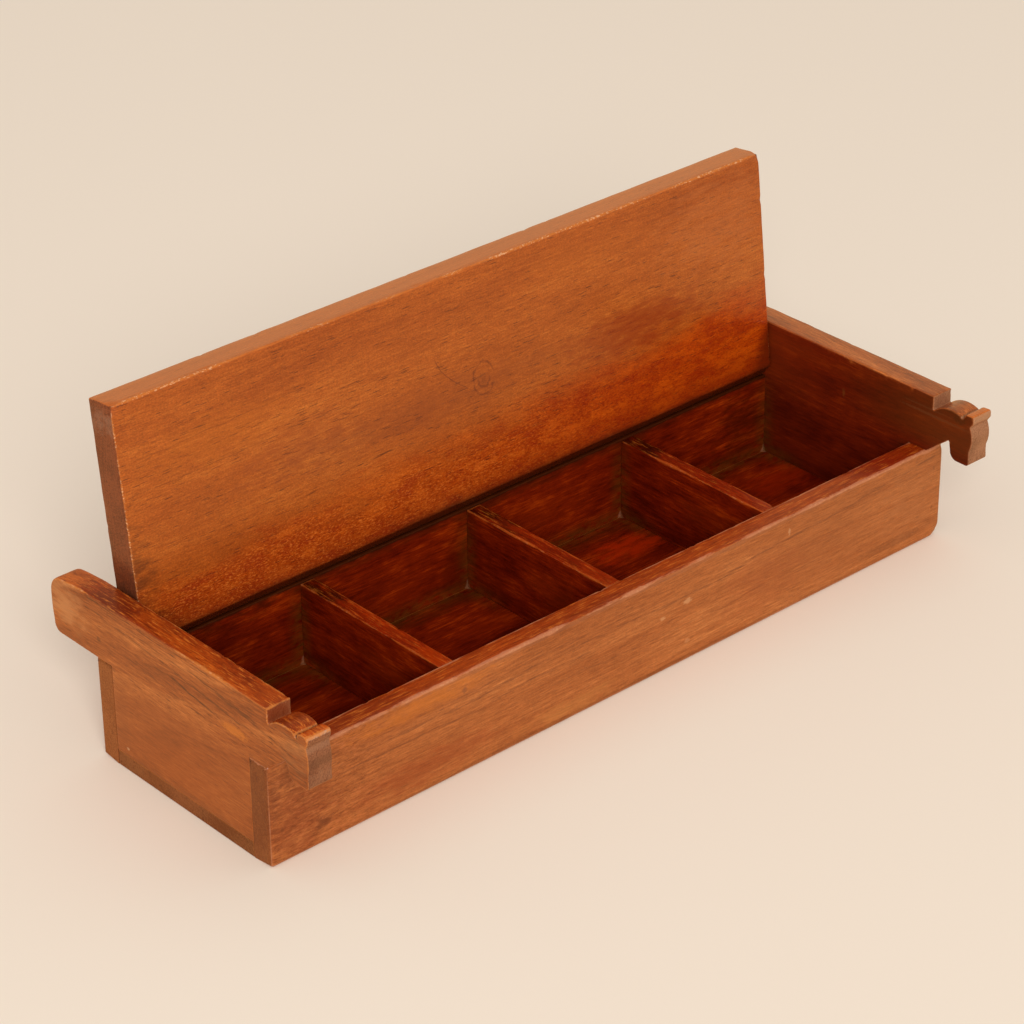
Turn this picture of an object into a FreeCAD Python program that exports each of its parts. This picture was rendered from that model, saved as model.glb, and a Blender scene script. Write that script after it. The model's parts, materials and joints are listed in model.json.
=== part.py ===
import FreeCAD, Part
import math
import os

# Small wooden sugar box for the table: four bins and a plank lid that swings on two pins
# between the long arms of the end boards. It stands with the lid swung open.
# Millimetres. X runs along the box, -Y is its front and +Z is up.
# The origin is the middle of the underside.

# Case: boards, butted, glued and bradded
case_length = 320.0
case_depth = 92.0
wall_height = 39.0            # front and back boards
front_thickness = 9.0
back_thickness = 9.0
end_thickness = 10.0
bottom_thickness = 6.0
corner_round = 1.5            # worn upright corners of the front and back boards
wall_round = 0.6              # worn long edges of the front and back boards
arm_round = 0.8               # worn top edges of the arms

# Dividers: evenly spaced between the end boards
divider_count = 3
divider_thickness = 6.5
divider_drop = 0.5            # how far their tops lie below the walls
divider_round = 0.6

# Arms: the upper part of each end board, which runs past both walls
arm_rise = 23.3               # above the walls
rear_reach = 24.4             # past the back board
rear_fall = 1.3               # of the arm's top before its upper rear corner
rear_fall_length = 20.0
rear_shoulder_back = 6.4      # from the upper rear corner's start to the rear end
rear_shoulder_drop = 8.0      # of that corner's end below the arm's top
rear_shoulder_bulge = 1.8     # of that corner off its chord
rear_tuck = 0.9               # how far the rear end draws in towards its lower corner
rear_heel = 3.6               # radius of the lower rear corner

# Carved nose at the front of each arm, measured from the front board's face
notch_reach = 1.7
notch_depth = 5.8
hump_bulge = 1.2              # of the hump off the straight line from groove to notch
groove_reach = 14.6
groove_depth = 3.9            # below the arm's top
brow_reach = 21.7
brow_drop = 1.7               # of the brow's top below the arm's top
brow_end_angle = 70.0         # where the brow's round turns into the groove, from +Y
lip_drop = 4.0                # of the brow's lower lip below the arm's top
recess_reach = 20.3
recess_drop = 5.9
belly_reach = 21.8
belly_drop = 11.2
chin_reach = 20.7
chin_drop = 17.3
chin_lift = 0.8               # of the droop's underside above the walls
chin_round = 1.6
droop_reach = 11.0            # of the droop's rear face
droop_round = 3.4
root_reach = 10.0             # where the slope under the arm meets the droop
root_lift = 7.8

# Lid
lid_gap = 1.0                 # between the lid and each end board
lid_thickness = 12.5
lid_lean = 6.3                # degrees past upright when it stands open
lid_seat_gap = 0.41           # under the closed lid, at the pins
lid_rear_setback = 0.5        # of the closed lid's rear edge inside the back board's face
lid_front_setback = 0.8       # of its front edge inside the front board's face
lid_stop_gap = 0.02           # between the open lid's heel and the back board
heel_flat = 1.4               # underside left flat behind the pins, before the heel's bevel
lid_round = 0.8

# Pins: driven into the lid's ends, turning in blind holes in the arms
pin_radius = 1.5
pin_running_gap = 0.05
pin_in_lid = 12.0
pin_in_arm = 6.0
pin_end_gap = 0.5

# Brads: fine nails with small heads, set just below the surface
brad_radius = 0.6
brad_length = 18.0
brad_head_radius = 1.0
brad_head_thickness = 0.5
brad_set = 0.4
brad_fit = 0.02               # between a brad and its hole
low_brad_rise = 7.0           # of the end boards' lower brads above the bottom board
high_brad_drop = 9.2          # of their upper brads below the walls' tops
divider_brad_drop = 6.6       # of the dividers' brads below the walls' tops
bottom_brad_spread = 40.0     # between the two brads under each end board

half_length = case_length / 2
half_depth = case_depth / 2
inner_front = -half_depth + front_thickness
inner_back = half_depth - back_thickness
bin_span = case_length - 2 * end_thickness
arm_top = wall_height + arm_rise

lean = math.radians(lid_lean)
pivot_rise = lid_thickness / 2 + lid_seat_gap
# The heel's upper rear edge lands on the back board when the lid leans back by lid_lean.
heel_reach = (pivot_rise - lid_stop_gap - lid_thickness / 2 * math.sin(lean)) / math.cos(lean)
heel_bevel = heel_reach - heel_flat
pivot_y = half_depth - lid_rear_setback - heel_reach
pivot_z = wall_height + pivot_rise
lid_length = bin_span - 2 * lid_gap
lid_width = case_depth - lid_front_setback - lid_rear_setback


def vec(x, y, z):
    return FreeCAD.Vector(x, y, z)


def box(x0, x1, y0, y1, z0, z1):
    return Part.makeBox(x1 - x0, y1 - y0, z1 - z0, vec(x0, y0, z0))


def edges_through(shape, points):
    # The edges of a shape whose middles lie at the given points.
    found = []
    for edge in shape.Edges:
        middle = edge.valueAt((edge.FirstParameter + edge.LastParameter) / 2)
        if any(middle.distanceToPoint(point) < 0.01 for point in points):
            found.append(edge)
    return found


def board_profile(x, steps):
    # A closed face at x from steps of (y, z), or (middle y, z, end y, z) for an arc.
    edges = []
    here = vec(x, *steps[0])
    for step in steps[1:]:
        end = vec(x, *step[-2:])
        if len(step) == 4:
            edges.append(Part.Arc(here, vec(x, *step[:2]), end).toShape())
        else:
            edges.append(Part.LineSegment(here, end).toShape())
        here = end
    return Part.Face(Part.Wire(edges))


def arc_step(centre_y, centre_z, radius, start_angle, end_angle):
    # An arc as a step of board_profile: its middle and its end. Angles from +Y towards +Z.
    middle = math.radians((start_angle + end_angle) / 2)
    end = math.radians(end_angle)
    return (centre_y + radius * math.cos(middle), centre_z + radius * math.sin(middle),
            centre_y + radius * math.cos(end), centre_z + radius * math.sin(end))


def bulge_step(start, end, bulge):
    # An arc from start to end as a step of board_profile, bulging to the left of the way.
    run_y = end[0] - start[0]
    run_z = end[1] - start[1]
    chord = math.hypot(run_y, run_z)
    middle_y = (start[0] + end[0]) / 2 - bulge * run_z / chord
    middle_z = (start[1] + end[1]) / 2 + bulge * run_y / chord
    return (middle_y, middle_z, *end)


def brad(head, direction):
    # One brad whose head lies brad_set below the surface point, pointing along direction.
    top = head + direction * brad_set
    disc = Part.makeCylinder(brad_head_radius, brad_head_thickness, top, direction)
    shank = Part.makeCylinder(brad_radius, brad_length, top, direction)
    return disc.fuse(shank).removeSplitter()


def brad_hole(head, direction):
    # The stepped hole that a brad sits in, open at the surface.
    seat_depth = brad_set + brad_head_thickness + brad_fit
    start = head - direction
    seat = Part.makeCylinder(brad_head_radius + brad_fit, seat_depth + 1, start, direction)
    depth = brad_set + brad_length + brad_fit
    shank = Part.makeCylinder(brad_radius + brad_fit, depth, head, direction)
    return seat.fuse(shank)


def divider_places():
    gap = (bin_span - divider_count * divider_thickness) / (divider_count + 1)
    pitch = gap + divider_thickness
    first = -bin_span / 2 + gap + divider_thickness / 2
    return [first + index * pitch for index in range(divider_count)]


def end_board_places():
    return (-half_length + end_thickness / 2, half_length - end_thickness / 2)


def wall_brad_places(y, direction):
    heads = []
    for x in end_board_places():
        for height in (bottom_thickness + low_brad_rise, wall_height - high_brad_drop):
            heads.append((vec(x, y, height), direction))
    for x in divider_places():
        heads.append((vec(x, y, wall_height - divider_brad_drop), direction))
    return heads


def bottom_brad_places():
    heads = []
    for x in end_board_places():
        for y in (-bottom_brad_spread / 2, bottom_brad_spread / 2):
            heads.append((vec(x, y, 0), vec(0, 0, 1)))
    return heads


front_brad_heads = wall_brad_places(-half_depth, vec(0, 1, 0))
back_brad_heads = wall_brad_places(half_depth, vec(0, -1, 0))
bottom_brad_heads = bottom_brad_places()


def drill(shape, heads):
    for head, direction in heads:
        shape = shape.cut(brad_hole(head, direction))
    return shape


def wall(outer_y, inner_y, heads):
    # A full-length board on edge, worn on its outer corners and long edges.
    low = min(outer_y, inner_y)
    high = max(outer_y, inner_y)
    board = box(-half_length, half_length, low, high, 0, wall_height)
    corners = [vec(x, outer_y, wall_height / 2) for x in (-half_length, half_length)]
    board = board.makeFillet(corner_round, edges_through(board, corners))
    long_edges = [vec(0, outer_y, 0), vec(0, outer_y, wall_height)]
    board = board.makeFillet(wall_round, edges_through(board, long_edges))
    return drill(board, heads)


def bottom():
    board = box(-half_length, half_length, inner_front, inner_back, 0, bottom_thickness)
    ends = [vec(x, (inner_front + inner_back) / 2, 0) for x in (-half_length, half_length)]
    board = board.makeFillet(wall_round, edges_through(board, ends))
    return drill(board, bottom_brad_heads)


def divider(x):
    half = divider_thickness / 2
    top = wall_height - divider_drop
    board = box(x - half, x + half, inner_front, inner_back, bottom_thickness, top)
    middle = (inner_front + inner_back) / 2
    rims = [vec(x - half, middle, top), vec(x + half, middle, top)]
    board = board.makeFillet(divider_round, edges_through(board, rims))
    return drill(board, front_brad_heads + back_brad_heads)


def arm_outline():
    # Steps round an arm, from the front board's upper edge, under the nose, over the top
    # and round the rear end, back along its underside.
    front = -half_depth
    rear = half_depth + rear_reach
    low = wall_height + chin_lift
    nose_low = front - chin_reach
    droop = front - droop_reach
    steps = [(front, wall_height)]
    steps.append((front - root_reach, wall_height + root_lift))
    steps.append((droop, low + droop_round))
    steps.append(arc_step(droop - droop_round, low + droop_round, droop_round, 0, -90))
    steps.append((nose_low + chin_round, low))
    steps.append(arc_step(nose_low + chin_round, low + chin_round, chin_round, -90, -180))
    steps.append((nose_low, arm_top - chin_drop))
    steps.append((front - belly_reach, arm_top - belly_drop, front - recess_reach, arm_top - recess_drop))
    lip_y = front - brow_reach
    lip_z = arm_top - lip_drop
    steps.append((lip_y, lip_z))
    brow_radius = lip_drop - brow_drop
    steps.append(arc_step(lip_y + brow_radius, lip_z, brow_radius, 180, brow_end_angle))
    groove = (front - groove_reach, arm_top - groove_depth)
    notch = (front - notch_reach, arm_top - notch_depth)
    steps.append(groove)
    steps.append(bulge_step(groove, notch, hump_bulge))
    steps.append((front - notch_reach, arm_top))
    shoulder = (rear - rear_shoulder_back, arm_top - rear_fall)
    fall_start = (shoulder[0] - rear_fall_length, arm_top)
    steps.append(fall_start)
    # A quarter of the fall is the bulge of an arc that leaves the flat top without a kink.
    steps.append(bulge_step(fall_start, shoulder, rear_fall / 4))
    corner = (rear, arm_top - rear_shoulder_drop)
    steps.append(bulge_step(shoulder, corner, rear_shoulder_bulge))
    heel = (rear - rear_tuck, wall_height + rear_heel)
    # Half the tuck is the bulge of an arc that starts almost straight down.
    steps.append(bulge_step(corner, heel, rear_tuck / 2))
    steps.append(arc_step(heel[0] - rear_heel, heel[1], rear_heel, 0, -90))
    steps.append((front, wall_height))
    return steps


def worn_bar(side):
    # A bar round one arm, rounded where the arm's long top edges and its two ends are worn.
    x = side * (half_length - end_thickness / 2)
    low_x = x - end_thickness / 2
    high_x = x + end_thickness / 2
    front = -half_depth - max(brow_reach, belly_reach)
    rear = half_depth + rear_reach
    bar = box(low_x, high_x, front, rear, wall_height, arm_top)
    middle_y = (front + rear) / 2
    middle_z = (wall_height + arm_top) / 2
    rims = [vec(edge_x, middle_y, arm_top) for edge_x in (low_x, high_x)]
    rims += [vec(edge_x, y, middle_z) for edge_x in (low_x, high_x) for y in (front, rear)]
    return bar.makeFillet(arm_round, edges_through(bar, rims))


def end_board(side):
    # side is -1 for the left board and +1 for the right one.
    outer = side * half_length
    inner = side * (half_length - end_thickness)
    across = vec(inner - outer, 0, 0)
    arm = board_profile(outer, arm_outline()).extrude(across).common(worn_bar(side))
    low_x = min(inner, outer)
    high_x = max(inner, outer)
    panel = box(low_x, high_x, inner_front, inner_back, bottom_thickness, wall_height)
    board = arm.fuse(panel).removeSplitter()
    bore_depth = pin_in_arm + pin_end_gap
    mouth = vec(inner, pivot_y, pivot_z)
    bore = Part.makeCylinder(pin_radius + pin_running_gap, bore_depth, mouth, vec(side, 0, 0))
    board = board.cut(bore)
    return drill(board, front_brad_heads + back_brad_heads + bottom_brad_heads)


def swing_open(shape):
    # From flat on the walls to leaning back on the heel.
    shape.rotate(vec(0, pivot_y, pivot_z), vec(1, 0, 0), -90 - lid_lean)
    return shape


def pin_hole(side):
    # A pin's hole in the lid's end, to the pin's own size.
    mouth = vec(side * lid_length / 2, pivot_y, pivot_z)
    return Part.makeCylinder(pin_radius, pin_in_lid, mouth, vec(-side, 0, 0))


def lid():
    # Drawn closed: a plank with its lower rear edge bevelled, so that it clears the back board.
    rear = pivot_y + heel_reach
    front = rear - lid_width
    low = pivot_z - lid_thickness / 2
    high = pivot_z + lid_thickness / 2
    section = [(front, low), (rear - heel_bevel, low), (rear, low + heel_bevel),
               (rear, high), (front, high), (front, low)]
    plank = board_profile(-lid_length / 2, section).extrude(vec(lid_length, 0, 0))
    rims = [vec(0, front, high), vec(0, front, low)]
    for x in (-lid_length / 2, lid_length / 2):
        rims.append(vec(x, (front + rear) / 2, high))
    plank = plank.makeFillet(lid_round, edges_through(plank, rims))
    for side in (-1, 1):
        plank = plank.cut(pin_hole(side))
    return swing_open(plank)


def pivot_pin(side):
    start = vec(side * (lid_length / 2 - pin_in_lid), pivot_y, pivot_z)
    length = pin_in_lid + lid_gap + pin_in_arm
    return Part.makeCylinder(pin_radius, length, start, vec(side, 0, 0))


def brads(heads):
    return Part.makeCompound([brad(head, direction) for head, direction in heads])


pieces = {
    "left_end_board": end_board(-1),
    "right_end_board": end_board(1),
    "front_board": wall(-half_depth, inner_front, front_brad_heads),
    "back_board": wall(half_depth, inner_back, back_brad_heads),
    "bottom_board": bottom(),
    "lid": lid(),
    "left_pivot_pin": pivot_pin(-1),
    "right_pivot_pin": pivot_pin(1),
    "front_brads": brads(front_brad_heads),
    "back_brads": brads(back_brad_heads),
    "bottom_brads": brads(bottom_brad_heads),
}
for number, place in enumerate(divider_places(), start=1):
    pieces["divider_%d" % number] = divider(place)

os.makedirs("parts", exist_ok=True)
for name, shape in pieces.items():
    shape.exportStep("parts/%s.step" % name)
    print(name, "solids", len(shape.Solids), "volume", round(shape.Volume, 1), shape.isValid())
print("pivot", round(pivot_y, 3), round(pivot_z, 3), "heel", round(heel_reach, 3), round(heel_bevel, 3))
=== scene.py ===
import json
import math

import bpy
import numpy as np
from mathutils import Matrix, Vector, geometry, noise


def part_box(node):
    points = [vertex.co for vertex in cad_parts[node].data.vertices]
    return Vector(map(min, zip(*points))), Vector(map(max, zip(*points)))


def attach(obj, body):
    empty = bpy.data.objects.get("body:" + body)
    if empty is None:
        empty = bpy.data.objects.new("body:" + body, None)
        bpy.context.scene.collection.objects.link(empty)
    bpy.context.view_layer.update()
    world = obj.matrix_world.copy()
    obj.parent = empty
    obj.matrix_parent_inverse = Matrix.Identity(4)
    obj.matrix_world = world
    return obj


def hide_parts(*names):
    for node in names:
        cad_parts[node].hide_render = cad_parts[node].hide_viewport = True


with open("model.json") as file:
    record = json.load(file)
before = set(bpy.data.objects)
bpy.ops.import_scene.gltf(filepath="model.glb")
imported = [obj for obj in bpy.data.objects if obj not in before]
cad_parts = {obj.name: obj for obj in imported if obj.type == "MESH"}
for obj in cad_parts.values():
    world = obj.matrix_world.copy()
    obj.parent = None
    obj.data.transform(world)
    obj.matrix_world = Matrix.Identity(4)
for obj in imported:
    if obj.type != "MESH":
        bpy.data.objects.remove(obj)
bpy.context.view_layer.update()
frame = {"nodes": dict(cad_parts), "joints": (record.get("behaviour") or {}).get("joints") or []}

mm = 0.001    # in metres, which Blender counts in
scene = bpy.context.scene
print("frame loaded:", len(frame["nodes"]), "nodes")

# The camera: its place and turn beside the box, and its lens

cameraPlan = {
    "place": (-694.248, -768.003, 638.508),    # mm
    "azimuth": 41.534,       # degrees round from straight in front, towards the left end
    "elevation": 29.544,
    "roll": -0.684,
    "lens": 119.176,         # mm, on a 36 mm sensor
    "sensor": 36.0,
    "nearest": 0.05,         # m
    "farthest": 20.0,
}


def makeCamera(plan):
    azimuth = math.radians(plan["azimuth"])
    elevation = math.radians(plan["elevation"])
    roll = math.radians(plan["roll"])
    back = Vector((-math.sin(azimuth) * math.cos(elevation),
                   -math.cos(azimuth) * math.cos(elevation),
                   math.sin(elevation)))
    level = Vector((math.cos(azimuth), -math.sin(azimuth), 0))
    upright = back.cross(level)
    right = level * math.cos(roll) + upright * math.sin(roll)
    up = upright * math.cos(roll) - level * math.sin(roll)
    data = bpy.data.cameras.new("camera")
    data.lens = plan["lens"]
    data.sensor_width = plan["sensor"]
    data.clip_start = plan["nearest"]
    data.clip_end = plan["farthest"]
    camera = bpy.data.objects.new("camera", data)
    turn = Matrix((right, up, back)).transposed().to_4x4()
    camera.matrix_world = Matrix.Translation(Vector(plan["place"]) * mm) @ turn
    scene.collection.objects.link(camera)
    scene.camera = camera


makeCamera(cameraPlan)
print("camera set")

# The boards' places, in mm, from the frame


def nodeBox(node):
    low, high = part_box(node)
    return low / mm, high / mm


frontLow, frontHigh = nodeBox("front_board")
backLow, backHigh = nodeBox("back_board")
leftLow, leftHigh = nodeBox("left_end_board")
rightLow, rightHigh = nodeBox("right_end_board")
wallTop = frontHigh.z
floorTop = nodeBox("bottom_board")[1].z
endInner = rightLow.x
binDepth = backLow.y
middleLow, middleHigh = nodeBox("divider_2")
dividerTop = middleHigh.z
dividerThick = middleHigh.x - middleLow.x
binStep = nodeBox("divider_3")[0].x - middleLow.x

# The brads' places, in mm: into the end boards and dividers from the walls, and up through the bottom

bradReach = {"lowRise": 7.0, "highDrop": 9.2, "dividerDrop": 6.6, "bottomSpread": 20.0}
endMiddles = [(leftLow.x + leftHigh.x) / 2, (rightLow.x + rightHigh.x) / 2]
endBrads = [(x, z) for x in endMiddles
            for z in (floorTop + bradReach["lowRise"], wallTop - bradReach["highDrop"])]
dividerBrads = [(binStep * k, wallTop - bradReach["dividerDrop"]) for k in (-1, 0, 1)]
floorBrads = [(x, side * bradReach["bottomSpread"]) for x in endMiddles for side in (-1, 1)]

# Shader maths


class Term:
    # a node's output in a sum: Python's operators on it add Math nodes

    def __init__(self, recipe, socket):
        self.recipe = recipe
        self.socket = socket

    def maths(self, operation, first, second=0.0):
        return self.recipe.node("ShaderNodeMath", {"operation": operation}, {0: first, 1: second})

    def __add__(self, other):
        return self.maths("ADD", self, other)

    def __sub__(self, other):
        return self.maths("SUBTRACT", self, other)

    def __rsub__(self, other):
        return self.maths("SUBTRACT", other, self)

    def __mul__(self, other):
        return self.maths("MULTIPLY", self, other)

    def __truediv__(self, other):
        return self.maths("DIVIDE", self, other)

    def __rtruediv__(self, other):
        return self.maths("DIVIDE", other, self)

    def __pow__(self, other):
        return self.maths("POWER", self, other)

    def __abs__(self):
        return self.maths("ABSOLUTE", self)

    __radd__ = __add__
    __rmul__ = __mul__

    def least(self, other):
        return self.maths("MINIMUM", self, other)

    def most(self, other):
        return self.maths("MAXIMUM", self, other)

    def under(self, other):
        return self.maths("LESS_THAN", self, other)


stopPlaces = (0.0, 0.35, 0.6, 1.0)    # where a ramp's four colours stand


class Recipe:
    # a tree of nodes in the making: a new material's, or the tree that is given.
    # A material's place in mm, its colour, height and masks so far are kept on it too

    def __init__(self, name, tree=None):
        self.material = None
        if not tree:
            self.material = bpy.data.materials.new(name)
            self.material.use_nodes = True
            tree = self.material.node_tree
        self.tree = tree
        self.tree.nodes.clear()

    def node(self, kind, settings=None, inputs=None, output=0):
        made = self.tree.nodes.new(kind)
        for name, value in (settings or {}).items():
            if name == "stops":
                self.setStops(made.color_ramp, value)
            else:
                setattr(made, name, value)
        for name, value in (inputs or {}).items():
            if isinstance(value, Term):
                self.tree.links.new(value.socket, made.inputs[name])
            else:
                made.inputs[name].default_value = value
        return Term(self, made.outputs[output]) if made.outputs else made

    def setStops(self, ramp, colours):
        while len(ramp.elements) < len(colours):
            ramp.elements.new(1.0)
        for element, place, colour in zip(ramp.elements, stopPlaces, colours):
            element.position = place
            element.color = tone(colour)

    def step(self, value, low, high):
        # 0 below low and 1 above high, smooth in between; low may be the larger
        return self.node("ShaderNodeMapRange", {"interpolation_type": "SMOOTHSTEP"},
                         {"Value": value, "From Min": low, "From Max": high})

    def blend(self, share, first, second, kind="MIX"):
        # colours, by share from the first to the second
        return self.node("ShaderNodeMix", {"data_type": "RGBA", "blend_type": kind},
                         {0: share, 6: tone(first), 7: tone(second)}, output=2)

    def paint(self, share, colour, kind="MIX"):
        # a colour laid over the colour so far
        self.colour = self.blend(share, self.colour, colour, kind)

    def ramp(self, value, colours):
        return self.node("ShaderNodeValToRGB", {"stops": colours}, {0: value}, output="Color")

    def vector(self, operation, first, second):
        return self.node("ShaderNodeVectorMath", {"operation": operation}, {0: first, 1: second})

    def scaled(self, vector, factors):
        return self.vector("MULTIPLY", vector, factors)

    def parts(self, vector):
        # its X, Y and Z
        return [self.node("ShaderNodeSeparateXYZ", {}, {0: vector}, output=k) for k in range(3)]

    def cloud(self, factors, detail=2.0, roughness=0.5, output=0):
        # noise over the recipe's place, finer along an axis as its factor grows
        return self.node("ShaderNodeTexNoise", {"noise_dimensions": "3D"},
                         {"Vector": self.scaled(self.place, factors), "Scale": 1.0,
                          "Detail": detail, "Roughness": roughness}, output=output)

    def lines(self, value, detail=2.0, roughness=0.5):
        # uneven stripes along one value
        return self.node("ShaderNodeTexNoise", {"noise_dimensions": "1D"},
                         {"W": value, "Scale": 1.0, "Detail": detail, "Roughness": roughness})

    def attribute(self, name):
        return self.node("ShaderNodeAttribute", {"attribute_name": name}, output="Fac")

    def bump(self, height):
        # height in metres
        return self.node("ShaderNodeBump", {}, {"Strength": 1.0, "Distance": 1.0, "Height": height})

    def surface(self, inputs):
        shader = self.node("ShaderNodeBsdfPrincipled", {}, inputs)
        self.node("ShaderNodeOutputMaterial", {}, {"Surface": shader})
        return self.material


def tone(colour):
    # red, green and blue from 0 to 255, as a screen shows them, made what a shader wants
    if isinstance(colour, Term):
        return colour
    shares = [part / 255 for part in colour]
    return [share / 12.92 if share <= 0.04045 else ((share + 0.055) / 1.055) ** 2.4
            for share in shares] + [1.0]


# Wood: growth rings round a heart, pores and fibres along the grain


def grainPlace(recipe, wood):
    # millimetres in the board's own frame, X along the grain
    place = recipe.node("ShaderNodeTexCoord", output="Object")
    origin = [part * mm for part in wood["origin"]]
    turn = [math.radians(part) for part in wood["turn"]]
    return recipe.node("ShaderNodeMapping", {"vector_type": "TEXTURE"},
                       {"Vector": place, "Location": origin, "Rotation": turn, "Scale": (mm, mm, mm)})


def casePlace(recipe):
    # millimetres in the whole box's frame: its three parts
    place = recipe.node("ShaderNodeTexCoord", output="Object")
    return recipe.parts(recipe.scaled(place, (1 / mm, 1 / mm, 1 / mm)))


def growth(recipe, wood):
    # the distance from the tree's heart, in mm, with its wander along the board
    slow = recipe.cloud((0.011, 0.045, 0.045), 2.0, 0.5, output="Color")
    centred = recipe.vector("SUBTRACT", slow, (0.5, 0.5, 0.5))
    moved = recipe.vector("ADD", recipe.place, recipe.scaled(centred, (0, wood["wander"], wood["wander"])))
    heart = recipe.vector("SUBTRACT", moved, (0, wood["heart"][0], wood["heart"][1]))
    radius = recipe.node("ShaderNodeVectorMath", {"operation": "LENGTH"},
                         {0: recipe.scaled(heart, (0, 1, 1))}, output="Value")
    return radius + recipe.parts(recipe.place)[0] * wood["taper"]


def poreMask(recipe, wood, bands):
    # short open pores along the grain, crowded in places
    tangle = recipe.cloud((0.10, 1.2, 1.2), 1.0, 0.5, output="Color")
    swayed = recipe.node("ShaderNodeVectorMath", {"operation": "MULTIPLY_ADD"},
                         {0: tangle, 1: (5.0, 0.5, 0.5), 2: recipe.place})
    cells = recipe.node("ShaderNodeTexVoronoi", {"feature": "F1"},
                        {"Vector": recipe.scaled(swayed, (wood["poreGap"], 1.9, 1.9)), "Scale": 1.0},
                        output="Distance")
    crowd = recipe.cloud((0.045, 0.5, 0.5), 2.0, 0.6)
    reach = recipe.step(crowd + bands * 0.4, 0.40, 0.68) * wood["poreSize"] + 0.05
    return recipe.step(cells / reach, 1.1, 0.5)


def bareWood(recipe, wood):
    # the wood before its varnish: its colour, and how deep its pores and fibres lie, in mm
    recipe.place = grainPlace(recipe, wood)
    radius = growth(recipe, wood)
    bands = recipe.lines(radius / wood["ringGap"], 3.0, 0.55) - 0.5
    threads = recipe.lines(radius / (wood["ringGap"] * 0.14), 2.0, 0.6) - 0.5
    streaks = recipe.cloud((0.040, 0.75, 0.75), 3.0, 0.62) - 0.5
    fibres = recipe.cloud((wood["fibreScale"], 1.7, 1.7), 3.0, 0.68) - 0.5
    patches = recipe.cloud((0.016, 0.06, 0.06), 2.0, 0.5)
    curl = recipe.cloud((0.34, 0.09, 0.09), 2.0, 0.5) - 0.5
    ripple = recipe.cloud((1.3, 1.9, 1.9), 2.0, 0.6) - 0.5
    scratches = recipe.step(recipe.cloud((0.07, 2.6, 2.6), 2.0, 0.6), 0.54, 0.70)
    pores = poreMask(recipe, wood, bands)
    depth = (bands * 0.9 + threads * 0.25 + streaks * wood["streaky"] + fibres * 0.9) * wood["contrast"]
    recipe.colour = recipe.ramp(depth + 0.5 + (patches - 0.5) * wood["patchy"], wood["stops"])
    bright = (1.0 + fibres * wood["fibrous"] + curl * wood["curly"] + ripple * wood["rippled"]
              + scratches * wood["scratchy"])
    recipe.paint(1.0, recipe.node("ShaderNodeCombineXYZ", {}, {0: bright, 1: bright, 2: bright}), "MULTIPLY")
    recipe.paint(pores * wood["poreShare"], wood["poreTone"])
    recipe.height = pores * -0.035 + fibres * 0.022 + threads * 0.010 + streaks * 0.012
    recipe.threads = threads
    recipe.streaks = streaks
    recipe.fibres = fibres
    recipe.patches = patches
    recipe.pores = pores
    recipe.depth = depth
    recipe.inside = 0.0
    recipe.dull = 0.0


def marked(recipe, wood, kind, amount=1.0):
    # stains, pale rubs, dark streaks, painted shade, painted highlights and painted reflections at their own
    # places: centre, reach, share and colour; a small mark keeps a crisp edge
    if not wood[kind]:
        return
    parts = recipe.parts(recipe.place)
    along = parts[0]
    across = parts[wood["markAxis"]]
    loose = recipe.cloud((0.12, 0.35, 0.35), 3.0, 0.6) - 0.5
    tight = recipe.cloud((0.8, 1.6, 1.6), 2.0, 0.6) - 0.5
    onFace = wood["markFace"](recipe, parts) if wood["markFace"] and kind == "marks" else amount
    for centre, reach, share, colour in wood[kind]:
        small = min(reach) < 2.5
        first = (along - centre[0]) * (1 / reach[0])
        second = (across - (centre[1] + wood["edge"])) * (1 / reach[1])
        spread = first * first + second * second + (tight * 2.0 if small else loose * 3.2)
        spot = recipe.step(spread, 1.1, 0.1 if small else -0.3)
        recipe.paint(spot * share * onFace, colour)


def streaked(recipe, wood):
    # long dark grain lines: from, to, where they start and end across, width and share
    if not wood["lines"]:
        return
    parts = recipe.parts(recipe.place)
    along = parts[0]
    across = parts[wood["markAxis"]]
    waver = recipe.cloud((0.03, 0.01, 0.01), 3.0, 0.6) - 0.5
    broken = recipe.cloud((0.12, 1.6, 1.6), 3.0, 0.65)
    onFace = wood["markFace"](recipe, parts) if wood["markFace"] else 1.0
    for (start, end), (low, high), width, share in wood["lines"]:
        slope = (high - low) / (end - start)
        off = abs(across - (low + wood["edge"]) - (along - start) * slope + waver * 6.0)
        mask = recipe.step(off, width, width * 0.2) * recipe.step(broken, 0.36, 0.58)
        mask = mask * recipe.step(along, start, start + 4) * recipe.step(along, end, end - 4)
        recipe.paint(mask * share * onFace, wood["poreTone"])


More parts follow.
